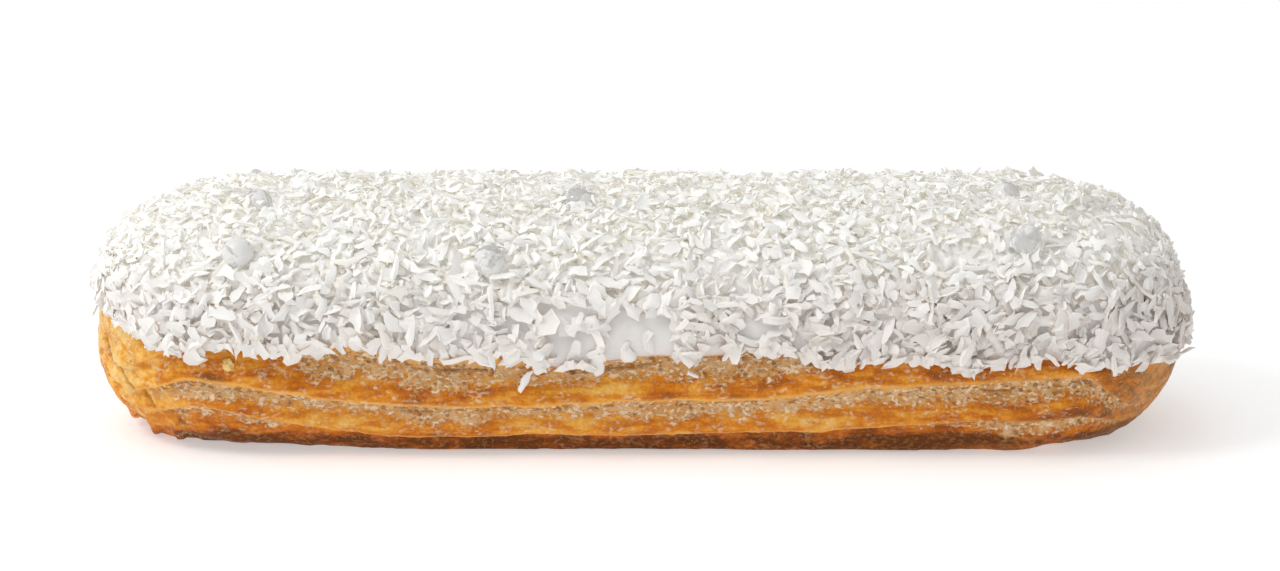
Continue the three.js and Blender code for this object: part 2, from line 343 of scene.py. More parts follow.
def srgb(red, green, blue):
    """A colour given as screen values from 0 to 255, as linear RGBA."""
    screen = np.array([red, green, blue]) / 255
    linear = np.where(screen <= 0.04045, screen / 12.92, ((screen + 0.055) / 1.055) ** 2.4)
    return (*linear.tolist(), 1.0)


def smooth_step(start, end, value):
    """A smooth step from 0 at the start to 1 at the end; the start may be the larger of the two."""
    share = np.clip((value - start) / (end - start), 0, 1)
    return share * share * (3 - 2 * share)


def waves(terms, x, phase):
    return sum(size * np.sin(2 * np.pi * x / length + phase * shift) for size, length, shift in terms)


def field(points, size, seed, octaves=3):
    """Smooth random values from about -1 to 1, with features of that size."""
    shift = FIELD_SHIFT * seed
    spots = (points.reshape(-1, 3) / size).tolist()
    values = [noise.fractal(Vector(spot) + shift, 1, 2, octaves) for spot in spots]
    return np.array(values).reshape(points.shape[:-1])


def rags(terms, x, seed):
    """Ragged values along a line of X places: each term is a size, a length and a first seed."""
    total = 0
    for size, length, first in terms:
        line = np.full_like(x, (first + seed) * LINE_SPACING * length)
        total = total + size * field(np.stack([x, line, np.zeros_like(x)], -1), length, 1)
    return total


def cells(points, size, seed):
    """Distance to the nearest of points scattered about one a size apart, as a share of that size."""
    shift = CELL_SHIFT * seed
    spots = (points.reshape(-1, 3) / size).tolist()
    values = [noise.voronoi(Vector(spot) + shift)[0][0] for spot in spots]
    return np.array(values).reshape(points.shape[:-1])


# The bar's shape

def taper(x, power):
    into = np.clip((np.abs(x) - STRAIGHT) / CAP_LENGTH, 0, 1)
    return (1 - into ** power) ** (1 / power)


def end_taper(x, powers):
    return np.where(x < 0, taper(x, powers[0]), taper(x, powers[1]))


def signed_power(value, power):
    return np.sign(value) * np.abs(value) ** power


def unit(vector):
    return vector / np.linalg.norm(vector)


def bar_point(x, angle, grow):
    """Points of the bar at X and an angle, grown outwards by grow."""
    c = np.cos(np.radians(angle))
    s = np.sin(np.radians(angle))
    above = (RISE + grow) * end_taper(x, CROWN_POWERS)
    raised = 1 - (1 - LEFT_DROP) * smooth_step(*LEFT_DROP_STEP, x)
    below = (DROP + grow) * end_taper(x, BELLY_POWERS) * raised
    left_reach = END_REACH[0] * smooth_step(-STRAIGHT, -HALF_LENGTH, x)
    right_reach = END_REACH[1] * smooth_step(STRAIGHT, HALF_LENGTH, x)
    return np.stack(np.broadcast_arrays(
        x * (1 + TIP_GROWTH * grow / HALF_LENGTH) - left_reach + right_reach,
        -(HALF_WIDTH + grow) * taper(x, PLAN_POWER) * signed_power(c, 2 / SECTION_POWER),
        TIP_HEIGHT + np.where(s > 0, above, below) * signed_power(s, 2 / SECTION_POWER),
    ), -1)


def stations(middle, cap):
    """X of the sections: even along the middle, closer together towards the tips."""
    turn = np.linspace(0, np.pi / 2, cap + 1)[1:-1]
    ends = STRAIGHT + CAP_LENGTH * np.sin(turn) ** (2 / PLAN_POWER)
    return np.concatenate([-ends[::-1], np.linspace(-STRAIGHT, STRAIGHT, middle + 1), ends])


def ridge_twist(x):
    return sum(turn * smooth_step(start, end, side * x) for side, start, end, turn in TWISTS)


def lip_angle(x, ridge, phase):
    hold = 1 - max(0, ridge) / (RIDGES_A_SIDE - 1)
    place = FIRST_LIP - ridge * RIDGE_PITCH + hold * (ridge_twist(x) + waves(LIP_WAVES, x, ridge + phase))
    if ridge < 1:
        place = place + LIP_LIFT
    for bumped, centre, half, turn in LIP_BUMPS:
        if bumped == ridge:
            place = place + turn * np.exp(-((x - centre) / half) ** 2)
    return place + hold * rags(LIP_RAGS, x, ridge + phase)


def icing_rounding(from_edge):
    """Share of the full coat at a distance from the icing's edge."""
    return np.sqrt(1 - (1 - np.clip(from_edge / ICING_ROUNDING, 0, 1)) ** 2)


def icing_edge(x, y):
    """Height of the icing's edge. It falls to the right, rises at the left tip and dips at a bare patch."""
    start, size = ICING_EDGE_FALL
    fall = size * smooth_step(start, HALF_LENGTH, x)
    start, size = ICING_EDGE_RISE
    fall = fall - size * smooth_step(start, -HALF_LENGTH, x)
    centre, half, size = ICING_EDGE_DIP
    fall = fall + np.where(y < 0, size * np.exp(-((x - centre) / half) ** 2), 0)
    back = np.where(y < 0, 0, EDGE_BACK_SHIFT)
    return ICING_EDGE - ICING_EDGE_SLOPE * x / HALF_LENGTH - fall + waves(ICING_EDGE_WAVES, x, 1 + back)


# Meshes

def add_mesh(name, points, faces, material, attributes=None):
    mesh = bpy.data.meshes.new(name)
    mesh.from_pydata((points.reshape(-1, 3) * MM).tolist(), [], faces)
    for key, values in (attributes or {}).items():
        kept = mesh.attributes.new(key, "FLOAT", "POINT")
        kept.data.foreach_set("value", values.reshape(-1).astype(np.float32))
    mesh.shade_smooth()
    mesh.materials.append(material)
    piece = bpy.data.objects.new(name, mesh)
    bpy.context.scene.collection.objects.link(piece)
    return piece


def ring_quads(rings, size):
    """Faces between neighbouring rings of size points each."""
    i, j = np.meshgrid(np.arange(rings - 1), np.arange(size), indexing="ij")
    here = i * size + j
    beside = i * size + (j + 1) % size
    return np.stack([here, here + size, beside + size, beside], -1).reshape(-1, 4)


def tube_faces(rings, size):
    """Faces of a tube of rings, closed by fans round the two points that come after the rings."""
    here = np.arange(size)
    beside = (here + 1) % size
    last = (rings - 1) * size
    first_tip = np.full(size, rings * size)
    first_fan = np.stack([first_tip, beside, here], -1)
    last_fan = np.stack([first_tip + 1, last + here, last + beside], -1)
    turned_over = ring_quads(rings, size)[:, [0, 3, 2, 1]]
    return turned_over.tolist() + first_fan.tolist() + last_fan.tolist()


def grid_normals(points):
    along = np.gradient(points, axis=0)
    round_bar = np.roll(points, -1, axis=1) - np.roll(points, 1, axis=1)
    normal = np.cross(round_bar, along)
    return normal / (np.linalg.norm(normal, axis=-1, keepdims=True) + NEAR_ZERO)


# Materials

class Shader:
    """A node material with one Principled shader, and short ways to add the nodes that feed it."""

    def __init__(self, name):
        self.material = bpy.data.materials.new(name)
        self.material.use_nodes = True
        self.tree = self.material.node_tree
        self.main = self.tree.nodes["Principled BSDF"]
        self.place = self.add("TexCoord").outputs["Object"]

    def put(self, socket, value):
        if isinstance(value, bpy.types.NodeSocket):
            self.tree.links.new(value, socket)
        else:
            socket.default_value = value

    def add(self, kind, inputs=None, **settings):
        made = self.tree.nodes.new("ShaderNode" + kind)
        for key, value in settings.items():
            setattr(made, key, value)
        for key, value in (inputs or {}).items():
            self.put(made.inputs[key], value)
        return made

    def set(self, **values):
        for key, value in values.items():
            self.put(self.main.inputs[key.replace("_", " ")], value)

    def attribute(self, name):
        return self.add("Attribute", attribute_name=name).outputs["Fac"]

    def stretch(self, x, y, z):
        made = self.add("Mapping", {"Vector": self.place, "Scale": (x, y, z)})
        return made.outputs["Vector"]

    def noise(self, size, detail=3, vector=None, distortion=0.0):
        """Random values round 0.5, with features of that size in millimetres."""
        inputs = {"Vector": vector or self.place, "Scale": 1 / (size * MM), "Detail": detail}
        return self.add("TexNoise", {**inputs, "Distortion": distortion}).outputs["Fac"]

    def cells(self, size, vector):
        inputs = {"Vector": vector, "Scale": 1 / (size * MM)}
        return self.add("TexVoronoi", inputs, feature="F1").outputs["Distance"]

    def ramp(self, value, stops):
        made = self.add("ValToRGB", {"Fac": value})
        elements = made.color_ramp.elements
        while len(elements) < len(stops):
            elements.new(1)
        for element, (position, colour) in zip(elements, stops):
            element.position = position
            element.color = srgb(*colour)
        return made.outputs["Color"]

    def between(self, value, low, high, to_low=0.0, to_high=1.0):
        inputs = {"Value": value, "From Min": low, "From Max": high, "To Min": to_low, "To Max": to_high}
        return self.add("MapRange", inputs, interpolation_type="SMOOTHSTEP").outputs["Result"]

    def swing(self, value, low, high):
        """A noise's values, taken to those from low to high."""
        return self.between(value, *NOISE_SPAN, low, high)

    def math(self, operation, first, second):
        made = self.add("Math", operation=operation)
        self.put(made.inputs[0], first)
        self.put(made.inputs[1], second)
        return made.outputs[0]

    def times(self, first, second):
        return self.math("MULTIPLY", first, second)

    def mix(self, share, first, second):
        made = self.add("Mix", data_type="RGBA")
        self.put(made.inputs["Factor"], share)
        self.put(made.inputs["A"], first)
        self.put(made.inputs["B"], second)
        return made.outputs["Result"]

    def bump(self, height, distance):
        inputs = {"Height": height, "Distance": distance * MM, "Strength": 1.0}
        return self.add("Bump", inputs).outputs["Normal"]


def crust_colour(shader, toast_and_shade, streaks, fine):
    """Baked ridges: yellow where the crust is thinnest, orange, then brown, in streaks along the bar. The
    browning also brings in painted shade at the foot and the base, and painted highlights lighten the lips;
    their colour also gives the right cap its own yellower tint.
    """
    specks = shader.swing(fine, -0.08, 0.08)
    browned = shader.math("ADD", toast_and_shade, shader.math("ADD", streaks, specks))
    # Painted highlight along the lips, the same mask also giving the right cap its own yellower tint
    lip_highlight_and_cap = shader.times(shader.attribute("lip"), 0.75)
    return shader.mix(lip_highlight_and_cap, shader.ramp(browned, CRUST_COLOURS), srgb(*LIP_HIGHLIGHT_AND_CAP_COLOUR))


def fleck_share(shader, toast_and_shade, crumb, grain):
    """Flecks of torn skin: dense on the crumb, fewer on the brown base and on the ridges."""
    fleck = shader.between(shader.noise(0.42, 3, grain, 0.25), 0.5, 0.6)
    scatter = shader.between(shader.noise(2.2), 0.45, 0.62, 0.0, 0.5)
    scatter = shader.times(scatter, shader.between(toast_and_shade, 0.6, 0.78, 1.0, 0.4))
    cover = shader.math("MAXIMUM", shader.between(crumb, 0, 0.6, 0.0, 0.85), scatter)
    cover = shader.math("MAXIMUM", cover, shader.between(toast_and_shade, *BROWN_BASE, 0.0, 0.5))
    return shader.times(fleck, cover)


def pore_share(shader, crumb, grain):
    """Pores, scattered over the crumb and in rows under the lips; the material sinks them by its bump and
    paints them darker brown as shade in these hollows.
    """
    pores = shader.between(shader.cells(0.8, shader.stretch(*PORE_GRAIN)), 0.3, 0.18)
    pores = shader.times(pores, shader.between(shader.noise(2.6), 0.45, 0.56))
    pores = shader.times(pores, crumb)
    row = shader.between(shader.noise(0.6, 2, grain), 0.54, 0.6)
    row = shader.times(row, shader.attribute("row"))
    return shader.math("MAXIMUM", pores, row)


def choux_material():
    shader = Shader("choux_crust")
    crumb = shader.attribute("crumb")
    toast_and_shade = shader.attribute("toast_and_shade")
    short_grain = shader.stretch(*SHORT_GRAIN)
    fine = shader.noise(0.45)
    streaks = shader.swing(shader.noise(1.1, 4, shader.stretch(*LONG_GRAIN)), -0.2, 0.2)
    crust = crust_colour(shader, toast_and_shade, streaks, fine)
    # Torn crumb breaks up where it meets the crust
    tear = shader.math("ADD", crumb, shader.between(fine, 0.25, 0.75, -0.5, 0.5))
    torn = shader.between(shader.math("ADD", tear, streaks), 0.28, 0.98)
    colour = shader.mix(torn, crust, shader.ramp(shader.noise(1.7, 4), TORN_COLOURS))
    fleck = fleck_share(shader, toast_and_shade, crumb, short_grain)
    on_base = shader.between(toast_and_shade, *BROWN_BASE)
    fleck_colour = shader.mix(on_base, srgb(*FLECK_COLOUR), srgb(*BASE_FLECK_COLOUR))
    colour = shader.mix(fleck, colour, fleck_colour)
    pores = pore_share(shader, crumb, short_grain)
    # Pores, splits and the crack painted darker brown: painted shade in these hollows
    hollow_shade = shader.times(shader.math("MAXIMUM", pores, shader.attribute("pit_shade")), 0.65)
    colour = shader.mix(hollow_shade, colour, srgb(*PORE_SHADE_COLOUR))
    # Darker still towards the foot and on the base: partly baked browner, partly painted shade
    colour = shader.mix(shader.between(toast_and_shade, 0.78, 0.95, 0.0, 0.45), colour, srgb(*BASE_BROWN_AND_SHADE_COLOUR))
    gloss = shader.between(torn, 0, 1, 0.32, 0.68)
    roughness = shader.math("ADD", gloss, shader.swing(fine, -0.08, 0.08))
    height = shader.math("SUBTRACT", shader.between(fine, 0.2, 0.8, 0.0, 0.5), pores)
    height = shader.math("ADD", height, shader.times(fleck, 0.6))
    shader.set(
        Base_Color=colour, Roughness=roughness, Normal=shader.bump(height, 0.2), Specular_IOR_Level=0.18,
        Subsurface_Weight=0.08, Subsurface_Radius=CHOUX_SCATTER, Subsurface_Scale=0.6,
    )
    return shader.material


def icing_material():
    """White icing, painted greyer lower down towards its edge as painted shade, with the choux showing through
    at its very edge.
    """
    shader = Shader("white_icing")
    shade_to_edge = shader.attribute("shade_to_edge")
    colour = shader.ramp(shader.noise(6), ICING_COLOURS)
    # Painted shade: greyer lower down towards the edge
    colour = shader.mix(shader.between(shade_to_edge, 0, 0.5), colour, srgb(*ICING_SHADE_COLOUR))
    colour = shader.mix(shader.between(shade_to_edge, 0.85, 1), colour, srgb(*ICING_EDGE_COLOUR))
    roughness = shader.swing(shader.noise(1.5), 0.26, 0.4)
    shader.set(
        Base_Color=colour, Roughness=roughness, Normal=shader.bump(shader.noise(2.5, 2), 0.12), IOR=1.45,
        Subsurface_Weight=0.35, Subsurface_Radius=ICING_SCATTER, Subsurface_Scale=1.0,
    )
    return shader.material


def coconut_material():
    """White flesh: each flake has its own tint, and a fine grain along its length; painted shade greys the
    flakes down the sides of the coat.
    """
    shader = Shader("coconut_flesh")
    tint = shader.attribute("tint")
    grain_place = shader.add("CombineXYZ", {
        "X": shader.times(shader.attribute("along"), 0.6),
        "Y": shader.times(shader.attribute("side"), 4.5),
        "Z": shader.times(tint, 91.0),
    }).outputs["Vector"]
    grain = shader.add("TexNoise", {"Vector": grain_place, "Scale": 1.0, "Detail": 2.0}).outputs["Fac"]
    grain_share = shader.between(grain, 0.42, 0.72, 0.0, 0.25)
    colour = shader.mix(grain_share, shader.ramp(tint, COCONUT_COLOURS), srgb(*COCONUT_GRAIN_COLOUR))
    # Painted shade: flakes greyer down the sides of the coat, most of all on the right
    colour = shader.mix(shader.attribute("shade_to_edge"), colour, srgb(*COCONUT_SHADE_COLOUR))
    roughness = shader.swing(grain, 0.5, 0.68)
    shader.set(
        Base_Color=colour, Roughness=roughness, Normal=shader.bump(grain, 0.1), Specular_IOR_Level=0.08,
    )
    return shader.material


def pearl_material():
    """Clear sugar with milky swirls."""
    shader = Shader("sugar_pearl")
    haze = shader.noise(0.9)
    swirl = shader.noise(1.8, 2, distortion=0.6)
    shader.set(
        Base_Color=shader.ramp(haze, PEARL_COLOURS), Roughness=shader.between(haze, 0.35, 0.7, 0.01, 0.06),
        Normal=shader.bump(haze, 0.03), IOR=1.4,
        Transmission_Weight=shader.between(swirl, 0.42, 0.56, 0.28, 0.7),
    )
    return shader.material


def crumb_material():
    shader = Shader("golden_crumb")
    colour = shader.ramp(shader.noise(0.5), CRUMB_COLOURS)
    shader.set(Base_Color=colour, Roughness=0.7, Normal=shader.bump(shader.noise(0.25), 0.1))
    return shader.material


def floor_material():
    shader = Shader("pale_floor")
    colour = shader.ramp(shader.noise(60), FLOOR_COLOURS)
    shader.set(Base_Color=colour, Roughness=0.9, Emission_Color=(1, 1, 1, 1), Emission_Strength=FLOOR_GLOW)
    return shader.material


# Choux

def ridge_shares(rows):
    """Places of a ridge's rows, closer together at its two lips."""
    even = np.arange(1, rows + 1) / rows
    return even - ROW_CROWDING * np.sin(2 * np.pi * even)


def choux_side(x, phase):
    """Rows of one side from the top down: their angles, relief, ridge numbers and shares of a ridge."""
    column = x[:, None]
    top = lip_angle(x, -1, phase)[:, None]
    smooth = np.linspace(0, 1, SMOOTH_ROWS, endpoint=False)[None, :]
    blocks = [(90 + (top - 90) * smooth, 0, -1, 0)]
    width = taper(column, PLAN_POWER)
    fade = np.where(column < 0, smooth_step(*RIDGE_FADE[0], width), smooth_step(*RIDGE_FADE[1], width))
    profile = np.array(RIDGE_PROFILE)
    for ridge in range(RIDGES_A_SIDE):
        share = ridge_shares(ROWS_A_RIDGE[ridge])[None, :]
        above = lip_angle(x, ridge - 1, phase)[:, None]
        lip = lip_angle(x, ridge, phase)[:, None]
        tuck = TUCK * fade * np.sin(np.pi * np.clip(share / TUCK_SHARE, 0, 1))
        depth = RIDGE_DEPTH * fade * (DEPTH_MEAN + rags([DEPTH_WAVE], x, ridge + phase)[:, None])
        relief = depth * np.interp(share, profile[:, 0], profile[:, 1])
        blocks.append((above + (lip - above) * share + tuck, relief, ridge, share))
    blocks.append((np.full_like(column, -90.0), 0, RIDGES_A_SIDE, 1))
    whole = [np.broadcast_arrays(*block) for block in blocks]
    return [np.concatenate(values, 1) for values in zip(*whole)]


def both_sides(front, back):
    """Rows of the front from the top down, then of the back from the bottom up; shared rows come once."""
    return np.concatenate([front, back[:, -2:0:-1]], 1)


class ChouxGrid:
    """The choux skin as rows round the bar at every station, with the fields that shape and colour it."""

    def __init__(self):
        places = stations(*CHOUX_SECTIONS)
        front = choux_side(places, 0)
        back = choux_side(places, BACK_PHASE)
        self.angle = both_sides(front[0], 180 - back[0])
        self.relief, self.ridge, self.share = (both_sides(front[n], back[n]) for n in (1, 2, 3))
        self.x = np.broadcast_to(places[:, None], self.angle.shape)
        self.plain = bar_point(self.x, self.angle, 0)
        above_edge = self.plain[..., 2] - icing_edge(self.plain[..., 0], self.plain[..., 1])
        self.open_air = smooth_step(*ICING_COVER_STEP, above_edge)
        self.long_grain = self.plain * CRUST_GRAIN
        self.patches = field(self.long_grain, *PATCHES)
        self.ragged = field(self.plain, *RAGS)
        self.left_cap = smooth_step(*LEFT_CAP_STEP, self.x)
        self.folds = cells(self.plain * FOLD_GRAIN, *FOLDS)

    def step(self, amount, start, end):
        """An amount that comes in along X."""
        return amount * smooth_step(start, end, self.x)

    def stretch(self, steps):
        """1 along a stretch of X between two steps."""
        return smooth_step(*steps[0], self.x) * smooth_step(*steps[1], self.x)


def crack_depth(x, angle, crack, width):
    """1 along a crack given as points of X and angle, falling to 0 at width millimetres from it."""
    degree = np.pi / 180 * HALF_WIDTH
    place = np.stack([x, angle * degree], -1)
    points = np.array(crack) * (1, degree)
    nearest = np.full(x.shape, np.inf)
    for start, end in zip(points[:-1], points[1:]):
        way = end - start
        share = np.clip(((place - start) @ way) / (way @ way), 0, 1)
        nearest = np.minimum(nearest, np.linalg.norm(place - start - share[..., None] * way, axis=-1))
    return smooth_step(width, 0, nearest)


def choux_lumps(grid):
    """Uneven swelling of the skin, with folds on the left cap and teeth along its foot."""
    lumps = sum(height * field(grid.plain, size, seed) for height, size, seed in LUMPS)
    teeth = np.maximum(0, np.sin(2 * np.pi * grid.x / TOOTH_PITCH))
    teeth = teeth * smooth_step(*TOOTH_HEIGHTS, grid.plain[..., 2]) * grid.stretch(TEETH_STEPS)
    return lumps + grid.left_cap * (FOLD_RISE - FOLD_FALL * grid.folds ** 2) + TOOTH_SIZE * teeth


def torn_crumb(grid):
    """1 where the skin is torn and crumb shows: from each lip down to a ragged line on the ridge below."""
    on_base = grid.ridge == BASE_RIDGE
    torn_to = np.where(on_base, TORN_BASE, TORN_RIDGE) + TORN_WANDER * (grid.patches + grid.ragged)
    at_ends = np.where(grid.x < 0, *TORN_ENDS) * smooth_step(*TORN_END_STEP, np.abs(grid.x))
    torn_to = torn_to + np.where(on_base, at_ends, 0)
    crumb = smooth_step(torn_to + TORN_SOFTNESS, torn_to - TORN_SOFTNESS, grid.share) * (grid.ridge >= 1)
    crumb *= np.where(grid.ridge == 1, grid.stretch(TOP_TEAR_STEPS), 1)
    crumb *= grid.step(1, *CRUMB_STEP)
    return np.maximum(crumb, grid.step(*RIGHT_CAP_CRUMB))


def choux_hollows(grid, crumb):
    """Pores in the crumb, splits along it under the lips, and the crack in the left cap."""
    pores = smooth_step(*PORE_EDGE, cells(grid.plain, *PORES))
    pores = pores * smooth_step(*PORE_GROUP_EDGE, field(grid.plain, *PORE_GROUPS))
    pores = pores * crumb * smooth_step(*PORE_TOP, grid.share)
    split_at = SPLIT_PLACE + SPLIT_WANDER[0] * grid.patches + SPLIT_WANDER[1] * grid.ragged
    split = smooth_step(*SPLIT_WIDTH, np.abs(grid.share - split_at)) * crumb
    split = split * smooth_step(*SPLIT_RUNS, field(grid.long_grain, *SPLITS))
    crack = crack_depth(grid.x, grid.angle + CRACK_WANDER * grid.ragged, LEFT_CRACK, CRACK_WIDTH)
    return pores, split, crack


def browning_and_shade(grid, height):
    """How dark the crust is: baked browning with painted shade added. It is darkest at its foot and along the
    brown base, partly baked browner and partly painted shade there, darker in the creases of the left cap as
    painted shade, and lightest at the left end.
    """
    # The foot: partly baked browner, partly painted shade near the floor
    foot = smooth_step(*FOOT_HEIGHTS, height + FOOT_RAGS * grid.ragged)
    toast_and_shade = TOAST + TOAST_PATCHES * grid.patches + TOAST_RAGS * grid.ragged
    toast_and_shade = toast_and_shade + FOOT_TOAST_AND_SHADE * (1 - grid.step(*FOOT_FADE)) * foot
    toast_and_shade = toast_and_shade + sum(grid.step(*change) for change in TOAST_ALONG)
    low = grid.ridge >= BASE_RIDGE
    toast_and_shade = toast_and_shade + low * grid.step(*TOAST_LOW_LEFT)
    # Painted shade in the creases between the folds of the left cap
    toast_and_shade = toast_and_shade + FOLD_SHADE * grid.left_cap * smooth_step(*FOLD_EDGE, grid.folds)
    # The brown base band: partly baked browner, partly painted shade on the underside
    under = smooth_step(*BASE_SHARES, np.where(grid.ridge == BASE_RIDGE, grid.share, 1))
    base = BASE_TOAST_AND_SHADE + BASE_UNDER * under + TOAST_RAGS * (grid.patches + grid.ragged)
    return np.clip(np.maximum(toast_and_shade, low * grid.stretch(BASE_STEPS) * base), 0, 1)


def lip_highlights_and_cap_tint(grid):
    # Painted highlight along each lip, with the right cap's own yellower tint
    lip = smooth_step(*LIP_HIGHLIGHT_SHARES, grid.share) * (grid.ridge >= 0) * (grid.ridge < BASE_RIDGE)
    return np.maximum(lip * grid.step(1, *LIP_HIGHLIGHT_STEP), grid.step(*RIGHT_CAP_GLOW))


def pore_rows(grid, crumb):
    from_row = np.abs(grid.share - PORE_ROW - PORE_ROW_WANDER * grid.patches)
    return smooth_step(*PORE_ROW_WIDTH, from_row) * smooth_step(*PORE_ROW_CRUMB, crumb)


def make_choux(material):
    grid = ChouxGrid()
    raised = grid.relief + choux_lumps(grid)
    points = bar_point(grid.x, grid.angle, raised * np.where(raised > 0, grid.open_air, 1))
    crumb = torn_crumb(grid)
    pores, split, crack = choux_hollows(grid, crumb)
    roughness = CRUMB_ROUGHNESS * crumb * field(grid.plain, *CRUMB_GRAIN)
    roughness = roughness + SKIN_ROUGHNESS * field(grid.plain, *SKIN_GRAIN)
    outwards = roughness - PORE_DEPTH * pores - SPLIT_DEPTH * split - CRACK_DEPTH * crack
    outwards = outwards * smooth_step(*LIFT_HEIGHTS, points[..., 2]) * grid.open_air
    points = points + grid_normals(points) * outwards[..., None]
    points[..., 2] = np.maximum(points[..., 2], 0)
    # The browning carries painted shade at the foot, the base and the left cap's creases, the hollows are
    # painted darker as shade, and the lips carry a painted highlight and the right cap's tint
    values = {  # over the grid, and at the two tips
        "crumb": (crumb, 0),
        "toast_and_shade": (browning_and_shade(grid, points[..., 2]), TIP_TOAST),
        "pit_shade": (np.clip(np.maximum(np.maximum(pores, split), crack), 0, 1), 0),
        "lip": (lip_highlights_and_cap_tint(grid), 0),
        "row": (pore_rows(grid, crumb), 0),
    }
    attributes = {key: np.append(over.reshape(-1), [tip, tip]) for key, (over, tip) in values.items()}
    tips = bar_point(np.array([-HALF_LENGTH, HALF_LENGTH]), np.zeros(2), 0)
    skin = np.concatenate([points.reshape(-1, 3), tips])
    choux = add_mesh("choux_bar", skin, tube_faces(*grid.angle.shape), material, attributes)
    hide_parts("choux")
    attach(choux, "root")


# Icing

def edge_angles(x, phase):
    """Angles at which the icing ends on the front, for phase 0, or on the back, at every station."""
    table = np.linspace(-90, 90, EDGE_TABLE)
    turned = table if phase == 0 else 180 - table
    found = []
    for place, wave in zip(x, rags(ICING_EDGE_RAGS, x, phase)):
        section = bar_point(np.full(table.size, place), turned, ICING_LIP)
        height = section[:, 2] - icing_edge(section[:, 0], section[:, 1]) - wave
        found.append(np.interp(0, height, table))
    return np.array(found)


def make_icing(material):
    x = stations(*ICING_SECTIONS)
    front = edge_angles(x, 0)[:, None]
    back = 180 - edge_angles(x, 1)[:, None]
    share = np.linspace(0, 1, ICING_ROWS)[None, :]
    eased = share - ICING_CROWDING * np.sin(2 * np.pi * share)
    upper = back + (front - back) * eased
    radius = (HALF_WIDTH * taper(x, PLAN_POWER) + RISE * end_taper(x, CROWN_POWERS))[:, None] / 2
    round_off = icing_rounding(np.radians(np.minimum(upper - front, back - upper)) * radius)
    across = np.broadcast_to(x[:, None], upper.shape)
    height, size, seed = ICING_SWELL
    swell = height * field(bar_point(across, upper, ICING_COAT), size, seed)
    outer = bar_point(across, upper, ICING_LIP + (ICING_COAT - ICING_LIP + swell) * round_off)
    inner_share = np.linspace(0, 1, ICING_UNDER_ROWS + 2)[None, 1:-1]
    inner_angle = front + (back - front) * inner_share
    inner = bar_point(np.broadcast_to(x[:, None], inner_angle.shape), inner_angle, ICING_INSIDE)
    rings = np.concatenate([outer, inner], 1)[:, ::-1]
    tips = np.stack([rings[0].mean(0), rings[-1].mean(0)])
    skin = np.concatenate([rings.reshape(-1, 3), tips])
    above_edge = skin[:, 2] - icing_edge(skin[:, 0], skin[:, 1])
    # Mask that is 1 at the icing's edge and 0 at the given height above it: painted shade, and at the very edge
    # the choux showing through
    shade_to_edge = np.clip(1 - above_edge / ICING_SHADE_REACH, 0, 1)
    icing = add_mesh("icing_coat", skin, tube_faces(*rings.shape[:2]), material, {"shade_to_edge": shade_to_edge})
    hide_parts("coconut_icing")
    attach(icing, "root")


# Coconut

CROWN_X = np.concatenate([[-HALF_LENGTH], stations(*CROWN_SECTIONS), [HALF_LENGTH]])
CROWN_LINE = bar_point(CROWN_X, np.full(CROWN_X.size, 90.0), ICING_COAT)
CROWN_WAY = np.concatenate([[0], np.cumsum(np.linalg.norm(np.diff(CROWN_LINE, axis=0), axis=1))])


def way_along(x):
    return np.interp(x, CROWN_X, CROWN_WAY)


def x_along(way):
    return np.interp(way, CROWN_WAY, CROWN_X)


def ring_radius(x):
    return ICING_COAT + (HALF_WIDTH * taper(x, PLAN_POWER) + RISE * end_taper(x, CROWN_POWERS)) / 2


def coat_frame(x, angle, grow):
    """A point of the coated bar, with unit vectors along it, round it and out of it."""
    inside = float(np.clip(x, FRAME_STEP - HALF_LENGTH, HALF_LENGTH - FRAME_STEP))
    sides = bar_point(inside + FRAME_STEP * np.array([-1, 1, 0, 0]),
                      angle + FRAME_STEP * np.array([0, 0, -1, 1]), grow)
    along = sides[1] - sides[0]
    out = unit(np.cross(along, sides[3] - sides[2]))
    along = unit(along)
    origin = bar_point(np.array([x]), np.array([angle]), grow)[0]
    return origin, along, np.cross(out, along), out


class Pile:
    """How high the coconut lies above the icing, on a grid unrolled along the crown and round the bar."""

    def __init__(self):
        self.columns = int(CROWN_WAY[-1] / PILE_CELL) + 2 * PILE_MARGIN
        self.rows = int(np.pi * PILE_REACH * HALF_WIDTH / PILE_CELL) + 2 * PILE_MARGIN
        column, row = np.meshgrid(np.arange(self.columns), np.arange(self.rows), indexing="ij")
        x = x_along((column + 0.5 - PILE_MARGIN) * PILE_CELL)
        angle = 90 + np.degrees((row + 0.5 - self.rows / 2) * PILE_CELL / ring_radius(x))
        coat = bar_point(x, angle, ICING_COAT)
        from_edge = coat[..., 2] - icing_edge(coat[..., 0], coat[..., 1])
        self.floor = (ICING_LIP - ICING_COAT) * (1 - icing_rounding(from_edge))
        self.height = self.floor.copy()
        self.limit = PILE_LIMIT * (PILE_AT_TIPS + (1 - PILE_AT_TIPS) * taper(x, PLAN_POWER))
        self.limit *= 1 + PILE_UNEVEN * field(coat, *PILE_LUMPS)

    def at(self, x, angle, along, round_bar):
        """Grid places of points that lie along and round the bar from a place at X and angle."""
        spot = x_along(way_along(x) + along)
        turned = angle - 90 + np.degrees(round_bar / max(ring_radius(x), SMALLEST_RADIUS))
        column = (way_along(spot) / PILE_CELL).astype(int) + PILE_MARGIN
        row = (np.radians(turned) * ring_radius(spot) / PILE_CELL + self.rows / 2).astype(int)
        return np.clip(column, 0, self.columns - 1), np.clip(row, 0, self.rows - 1)

    def raise_to(self, place, height):
        np.maximum.at(self.height, place, height)


